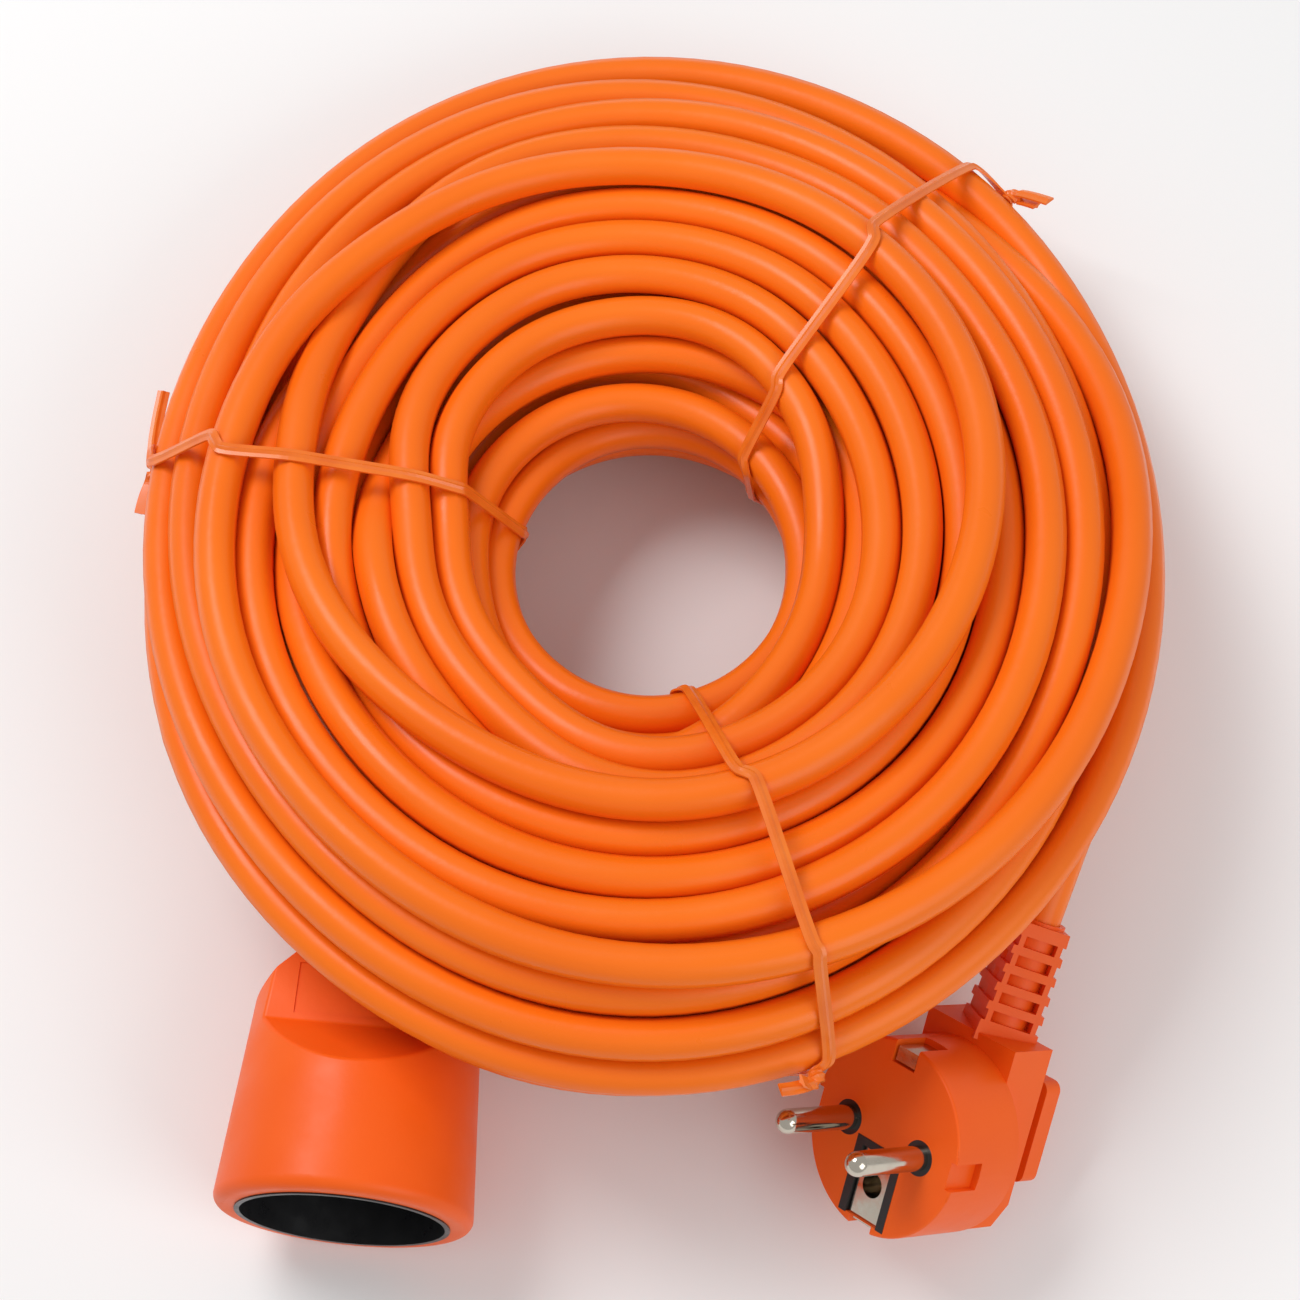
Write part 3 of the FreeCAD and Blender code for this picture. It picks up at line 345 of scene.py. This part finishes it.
def settle(rounds):
    """Winds the rows and lets the strands push each other apart inside the ring, one section of
    the ring at a time. Returns the ring angle and the (radius, height) of each point."""
    count = int(round((TURNS * 2 * math.pi + END - START) / (2 * math.pi) * STEPS)) + 1
    angle = START + np.arange(count) * 2 * math.pi / STEPS
    spread = spread_at(angle)
    middle, half, high, rise = section_at(angle)
    place, slack = first_winding(angle)
    # The strands of each section of the ring: all points at one ring angle.
    layers = count // STEPS + 1
    index = np.arange(STEPS)[:, None] + np.arange(layers)[None] * STEPS
    filled = index < count
    both = filled[:, :, None] & filled[:, None, :] & ~np.eye(layers, dtype=bool)
    index = np.minimum(index, count - 1)
    wide = half * spread - CORD / 2 + ROOM_ACROSS + slack
    tall = high - CORD / 2 + ROOM_UP + slack
    for turn in range(rounds):
        place = stiffened(place, STIFFNESS if turn < rounds * EASED_FROM else EASED_STIFFNESS)
        for _ in range(LAP_PASSES):
            section = np.stack([(place[:, 0] - middle) * spread, place[:, 1] - rise], 1)
            strands = section[index]
            gap = strands[:, :, None] - strands[:, None]
            distance = np.linalg.norm(gap, axis=-1) + 1e-9
            lap = np.where(both, np.maximum(0, SPACE - distance), 0)
            push = (gap * (lap / distance)[..., None]).sum(2) * LAP_SHARE
            section[index[filled]] += push[filled]
            outside = np.hypot(section[:, 0] / wide, section[:, 1] / tall)
            excess = np.maximum(0, 1 - 1 / np.maximum(outside, 1e-6)) * RING_SHARE
            excess[-int(STEPS * TAIL_TURN) :] = 0
            section -= section * excess[:, None]
            place = np.stack([section[:, 0] / spread + middle, section[:, 1] + rise], 1)
        place = cleared(angle, place, CLEAR_SHARE)
    for _ in range(SMOOTHINGS):
        place[2:-2] = (place[1:-3] + 2 * place[2:-2] + place[3:-1]) / 4
    for _ in range(LAST_CLEARINGS):
        place = cleared(angle, place, 1)
    return angle, place


ANGLE, PLACE = settle(ROUNDS)


def make_cord():
    """The whole cord as one spline, from inside the plug's strain relief to the socket's."""
    route = [PLUG_JACKET, PLUG_EXIT] + PLUG_ROUTE[:-1]
    route += list(to_model(ANGLE, PLACE))
    route += SOCKET_ROUTE[-2::-1] + [SOCKET_EXIT, SOCKET_JACKET]
    data = bpy.data.curves.new("cord", "CURVE")
    data.dimensions = "3D"
    # Each point's radius is the cord's own, so the bevel doesn't scale it.
    data.bevel_depth = 1.0
    data.bevel_resolution = 3
    data.resolution_u = 2
    spline = data.splines.new("NURBS")
    spline.points.add(len(route) - 1)
    for point, place in zip(spline.points, route):
        point.co = (*(float(c) * MM for c in place), 1)
        point.radius = CORD / 2 * MM
    spline.order_u = 3
    spline.use_endpoint_u = True
    spline.use_smooth = True
    cord = bpy.data.objects.new("cord", data)
    bpy.context.scene.collection.objects.link(cord)
    return cord


cord = make_cord()
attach(cord, BODY)
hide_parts("cord_coil", "cord_plug_end", "cord_socket_end")

# ---------------------------------------------------------------- twist ties

TIE_WIDTH, TIE_THICKNESS = 2.5, 0.9
# Ring angle of each tie at the rim, over the top and in the hole.
TIES = {
    "tie_left": (171.0, 178.0, 176.0),
    "tie_right": (43.0, 47.0, 33.0),
    "tie_front": (287.0, 288.0, 279.0),
}
TIE_LIFT = 0.5
TIE_POINTS = 220
TIE_EASE = 14
# The ribbon's outline, highest over its wire: place across it and height over what it lies on, as
# shares of its width and its thickness.
RIBBON = [(-0.5, 0.0), (-0.5, 0.45), (-0.2, 0.6), (0.0, 1.0), (0.2, 0.6), (0.5, 0.45), (0.5, 0.0)]
# A twisted end: its points, the share of it that is twisted, how far its root stands out of the
# loop and how far its middle line runs from the axis of the twist.
TAIL_POINTS, TWISTED, TAIL_ROOT, TWIST_RADIUS = 40, 0.5, 0.6, 0.75


def strands_at(angle):
    """(radius, height) of every strand that crosses one ring angle."""
    steps = (angle - START) / (2 * math.pi) * STEPS
    first = steps % STEPS
    at = np.arange(first, len(PLACE) - 1, STEPS)
    return np.stack([np.interp(at, np.arange(len(PLACE)), PLACE[:, i]) for i in (0, 1)], 1)


def tie_loop(rim, top, hole):
    """A taut loop round all the strands: its points in the model and its outward directions."""
    points, normals = [], []
    for way in np.arange(TIE_POINTS) * 2 * math.pi / TIE_POINTS:
        level = (rim + hole) / 2 + (rim - hole) / 2 * math.cos(way)
        here = math.radians(level + (top - (rim + hole) / 2) * max(0.0, math.sin(way)))
        spread = spread_at(here)
        middle = section_at(here)[0]
        strands = strands_at(here)
        section = np.stack([(strands[:, 0] - middle) * spread, strands[:, 1]], 1)
        out = np.array([math.cos(way), math.sin(way)])
        edge = section[np.argmax(section @ out)] + out * (CORD / 2 + TIE_LIFT)
        place = np.array([[edge[0] / spread + middle, edge[1]]])
        ahead = place + np.array([[out[0] / spread, out[1]]])
        point = to_model(np.array([here]), place)[0]
        points.append(point)
        normals.append(unit(to_model(np.array([here]), ahead)[0] - point))
    points, normals = np.array(points), np.array(normals)
    for _ in range(TIE_EASE):
        points = (np.roll(points, 1, 0) + 2 * points + np.roll(points, -1, 0)) / 4
    return points, normals


def ribbon_mesh(name, points, normals, closed):
    """A flat ribbon with a raised middle, swept along points with its face along normals."""
    count, sides = len(points), len(RIBBON)
    if closed:
        ahead = np.roll(points, -1, 0) - np.roll(points, 1, 0)
    else:
        ahead = np.gradient(points, axis=0)
    verts = []
    for point, normal, along in zip(points, normals, ahead):
        across = unit(np.cross(unit(along), normal))
        out = np.cross(across, unit(along))
        for side, height in RIBBON:
            verts.append((point + across * side * TIE_WIDTH + out * height * TIE_THICKNESS) * MM)
    faces = []
    for ring in range(count if closed else count - 1):
        after = (ring + 1) % count
        for side in range(sides):
            beside = (side + 1) % sides
            near, far = ring * sides, after * sides
            faces.append((near + side, near + beside, far + beside, far + side))
    if not closed:
        faces.append(tuple(range(sides - 1, -1, -1)))
        faces.append(tuple((count - 1) * sides + side for side in range(sides)))
    mesh = bpy.data.meshes.new(name)
    mesh.from_pydata([tuple(v) for v in verts], [], faces)
    mesh.validate()
    piece = bpy.data.objects.new(name, mesh)
    bpy.context.scene.collection.objects.link(piece)
    return piece


def tie_tail(name, points, normals, length, turns, bend, phase):
    """One of the two ends that are twisted together and then part, out of the loop's rim."""
    root, out = points[0], normals[0]
    along = unit(points[1] - points[-1])
    across = np.cross(out, along)
    centre, face = [], []
    for share in np.linspace(0, 1, TAIL_POINTS):
        angle = phase + 2 * math.pi * turns * min(1.0, share / TWISTED)
        side = along * math.cos(angle) + across * math.sin(angle)
        drift = (across * bend[0] + along * bend[1]) * share**2
        away = TAIL_ROOT + length * math.sin(share * math.pi / 2)
        centre.append(root + out * away + side * TWIST_RADIUS + drift)
        face.append(side)
    return ribbon_mesh(name, np.array(centre), np.array(face), False)


# Each tie's two ends: length out of the rim, twists, and how far each tip bends along the ring
# and up the rim.
TAILS = {
    "tie_left": [(2.5, 1.0, (17.0, 3.0)), (2.0, 1.0, (-8.0, -2.0))],
    "tie_right": [(2.0, 1.0, (10.0, -5.0)), (1.5, 1.0, (6.0, -3.0))],
    "tie_front": [(3.0, 1.0, (9.0, -3.0)), (2.5, 1.0, (6.0, 2.0))],
}


def make_ties():
    """The three loops with their twisted ends."""
    pieces = []
    for name, angles in TIES.items():
        points, normals = tie_loop(*angles)
        loop = ribbon_mesh(name + "_ribbon", points, normals, True)
        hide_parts(name, name + "_wire")
        pieces.append(loop)
        for number, (length, turns, bend) in enumerate(TAILS[name]):
            tail = f"{name}_end_{number + 1}"
            pieces.append(tie_tail(tail, points, normals, length, turns, bend, number * math.pi))
    for piece in pieces:
        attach(piece, BODY)
    return pieces


ties = make_ties()

# ---------------------------------------------------------------- materials

# Where most of a noise texture's values lie.
NOISE_LOW, NOISE_HIGH = 0.3, 0.7
# How much the small parts' roughness wanders.
ROUGHNESS_WANDER = 0.07


def new_material(name, colour, roughness, metallic=0.0, specular=0.5):
    """A Principled material with its fixed values on the shader's own sockets."""
    material = bpy.data.materials.new(name)
    material.use_nodes = True
    shader = material.node_tree.nodes["Principled BSDF"]
    shader.inputs["Base Color"].default_value = (*colour, 1)
    shader.inputs["Roughness"].default_value = roughness
    shader.inputs["Metallic"].default_value = metallic
    shader.inputs["Specular IOR Level"].default_value = specular
    return material


def noise(material, scale, detail):
    """A noise texture in the object's own coordinates."""
    nodes, links = material.node_tree.nodes, material.node_tree.links
    place = nodes.new("ShaderNodeTexCoord")
    texture = nodes.new("ShaderNodeTexNoise")
    texture.inputs["Scale"].default_value = scale
    texture.inputs["Detail"].default_value = detail
    links.new(place.outputs["Object"], texture.inputs["Vector"])
    return texture.outputs["Fac"]


def vary_colour(material, source, low, high, start=NOISE_LOW, end=NOISE_HIGH):
    """Colour that wanders between two values with a texture."""
    nodes, links = material.node_tree.nodes, material.node_tree.links
    ramp = nodes.new("ShaderNodeValToRGB")
    ramp.color_ramp.elements[0].position = start
    ramp.color_ramp.elements[1].position = end
    ramp.color_ramp.elements[0].color = (*low, 1)
    ramp.color_ramp.elements[1].color = (*high, 1)
    links.new(source, ramp.inputs["Fac"])
    links.new(ramp.outputs["Color"], nodes["Principled BSDF"].inputs["Base Color"])


def vary_roughness(material, source, low, high):
    """Roughness that wanders between two values with a texture."""
    nodes, links = material.node_tree.nodes, material.node_tree.links
    span = nodes.new("ShaderNodeMapRange")
    span.inputs["From Min"].default_value = NOISE_LOW
    span.inputs["From Max"].default_value = NOISE_HIGH
    span.inputs["To Min"].default_value = low
    span.inputs["To Max"].default_value = high
    links.new(source, span.inputs["Value"])
    links.new(span.outputs["Result"], nodes["Principled BSDF"].inputs["Roughness"])


def bump(material, source, strength, depth):
    """Surface relief from a texture, depth in metres."""
    nodes, links = material.node_tree.nodes, material.node_tree.links
    relief = nodes.new("ShaderNodeBump")
    relief.inputs["Strength"].default_value = strength
    relief.inputs["Distance"].default_value = depth
    links.new(source, relief.inputs["Height"])
    links.new(relief.outputs["Normal"], nodes["Principled BSDF"].inputs["Normal"])


def cord_material():
    """Soft orange PVC jacket: satin, with a faint unevenness in colour, gloss and surface."""
    material = new_material("cord_pvc_orange", (0.93, 0.172, 0.006), 0.34, specular=0.28)
    vary_colour(material, noise(material, 14, 3), (0.90, 0.155, 0.005), (0.95, 0.188, 0.007))
    vary_roughness(material, noise(material, 60, 4), 0.27, 0.42)
    bump(material, noise(material, 420, 3), 0.25, 0.0002)
    return material


def moulded_material():
    """Moulded orange PVC of the plug and the socket: a little redder and matter."""
    material = new_material("moulded_pvc_orange", (0.90, 0.115, 0.006), 0.42, specular=0.26)
    vary_colour(material, noise(material, 22, 4), (0.86, 0.100, 0.005), (0.93, 0.130, 0.007))
    vary_roughness(material, noise(material, 90, 5), 0.34, 0.52)
    bump(material, noise(material, 900, 3), 0.2, 0.0001)
    return material


def tie_material():
    """Glossy orange ribbon of the twist ties, a little paler in places."""
    material = new_material("tie_plastic_orange", (0.84, 0.17, 0.012), 0.25)
    vary_colour(material, noise(material, 160, 2), (0.80, 0.15, 0.010), (0.88, 0.20, 0.018))
    return material


def nickel_material():
    """Bright nickel plate, polished a little unevenly."""
    material = new_material("nickel_plate", (0.62, 0.56, 0.47), 0.14, metallic=1.0)
    vary_roughness(material, noise(material, 500, 4), 0.08, 0.22)
    return material


def plain_material(name, colour, rough, grain, metallic=0.0):
    """A small dark, inner or metal part with a fine grain."""
    material = new_material(name, colour, rough, metallic)
    low, high = rough - ROUGHNESS_WANDER, rough + ROUGHNESS_WANDER
    vary_roughness(material, noise(material, grain, 3), low, high)
    bump(material, noise(material, grain * 2, 2), 0.15, 0.0001)
    return material


def earth_core_material():
    """Green insulation with yellow stripes."""
    material = new_material("core_green_yellow", (0.10, 0.35, 0.04), 0.35)
    nodes, links = material.node_tree.nodes, material.node_tree.links
    place = nodes.new("ShaderNodeTexCoord")
    wave = nodes.new("ShaderNodeTexWave")
    wave.inputs["Scale"].default_value = 120
    links.new(place.outputs["Object"], wave.inputs["Vector"])
    vary_colour(material, wave.outputs["Fac"], (0.05, 0.28, 0.03), (0.75, 0.70, 0.03), 0.45, 0.55)
    return material


MATERIALS = {
    "cord_pvc": cord_material(),
    "moulded_pvc": moulded_material(),
    "tie_plastic": tie_material(),
    "nickel_plate": nickel_material(),
    "black_nylon": plain_material("black_nylon", (0.012, 0.012, 0.013), 0.33, 300),
    "grey_nylon": plain_material("grey_nylon", (0.30, 0.30, 0.31), 0.45, 300),
    "core_brown": plain_material("core_brown", (0.16, 0.06, 0.03), 0.35, 400),
    "core_blue": plain_material("core_blue", (0.03, 0.13, 0.45), 0.35, 400),
    "core_green_yellow": earth_core_material(),
    "copper": plain_material("copper", (0.80, 0.36, 0.20), 0.3, 700, 1.0),
    "contact_brass": plain_material("contact_brass", (0.75, 0.58, 0.28), 0.3, 600, 1.0),
    "spring_steel": plain_material("spring_steel", (0.50, 0.50, 0.51), 0.3, 800, 1.0),
    "tie_wire_steel": plain_material("tie_wire_steel", (0.55, 0.55, 0.56), 0.3, 800, 1.0),
}
cord.data.materials.append(MATERIALS["cord_pvc"])
for piece in ties:
    piece.data.materials.append(MATERIALS["tie_plastic"])
SLOTS = {part["node"]: part["material_slot"] for part in frame["record"]["subparts"]}

# Rounding of the connectors' edges.
EDGES = {"plug_body": 0.6, "socket_body": 0.5, "plug_carrier": 0.2, "plug_earth_band": 0.2}
EDGE_ANGLE = math.radians(35)


def soften(node, width):
    """Rounds a CAD part's sharp edges a little."""
    bevel = node.modifiers.new("edges", "BEVEL")
    bevel.width = width * MM
    bevel.segments = 2
    bevel.limit_method = "ANGLE"
    bevel.angle_limit = EDGE_ANGLE
    bevel.use_clamp_overlap = True


for name, node in frame["nodes"].items():
    node.data.materials.clear()
    node.data.materials.append(MATERIALS[SLOTS[name]])
for name, width in EDGES.items():
    soften(frame["nodes"][name], width)

# ---------------------------------------------------------------- floor and light

# In metres: half the floor's side, how far it lies under the lead, and the place that the lights
# look at. Powers are in watts.
FLOOR_HALF, FLOOR_DROP = 3.0, 0.0002
LIT_PLACE = Vector((0, 0, 0.03))
WORLD_STRENGTH = 0.52
LIGHTS = {
    "key": {"place": (-0.45, 0.35, 0.85), "size": 0.45, "power": 5.2},
    "fill": {"place": (0.55, -0.50, 0.60), "size": 0.6, "power": 2.3},
}


def make_floor():
    """A pale floor under everything."""
    mesh = bpy.data.meshes.new("floor")
    corners = [(x * FLOOR_HALF, y * FLOOR_HALF, 0) for x, y in ((-1, -1), (1, -1), (1, 1), (-1, 1))]
    mesh.from_pydata(corners, [], [(0, 1, 2, 3)])
    floor = bpy.data.objects.new("floor", mesh)
    bpy.context.scene.collection.objects.link(floor)
    floor.location.z = -FLOOR_DROP
    floor.data.materials.append(new_material("floor_white", (0.90, 0.90, 0.90), 0.9))


def area_light(name, place, size, power):
    """A square, soft and white light that looks at the coil."""
    data = bpy.data.lights.new(name, "AREA")
    data.size = size
    data.energy = power
    light = bpy.data.objects.new(name, data)
    light.location = place
    light.rotation_euler = (LIT_PLACE - Vector(place)).to_track_quat("-Z", "Y").to_euler()
    bpy.context.scene.collection.objects.link(light)


def make_world():
    """Even white surroundings."""
    world = bpy.data.worlds.new("studio")
    world.use_nodes = True
    background = world.node_tree.nodes["Background"]
    background.inputs["Color"].default_value = (1, 1, 1, 1)
    background.inputs["Strength"].default_value = WORLD_STRENGTH
    bpy.context.scene.world = world


make_floor()
make_world()
for name, light in LIGHTS.items():
    area_light(name, **light)
bpy.context.scene.view_settings.view_transform = "Standard"
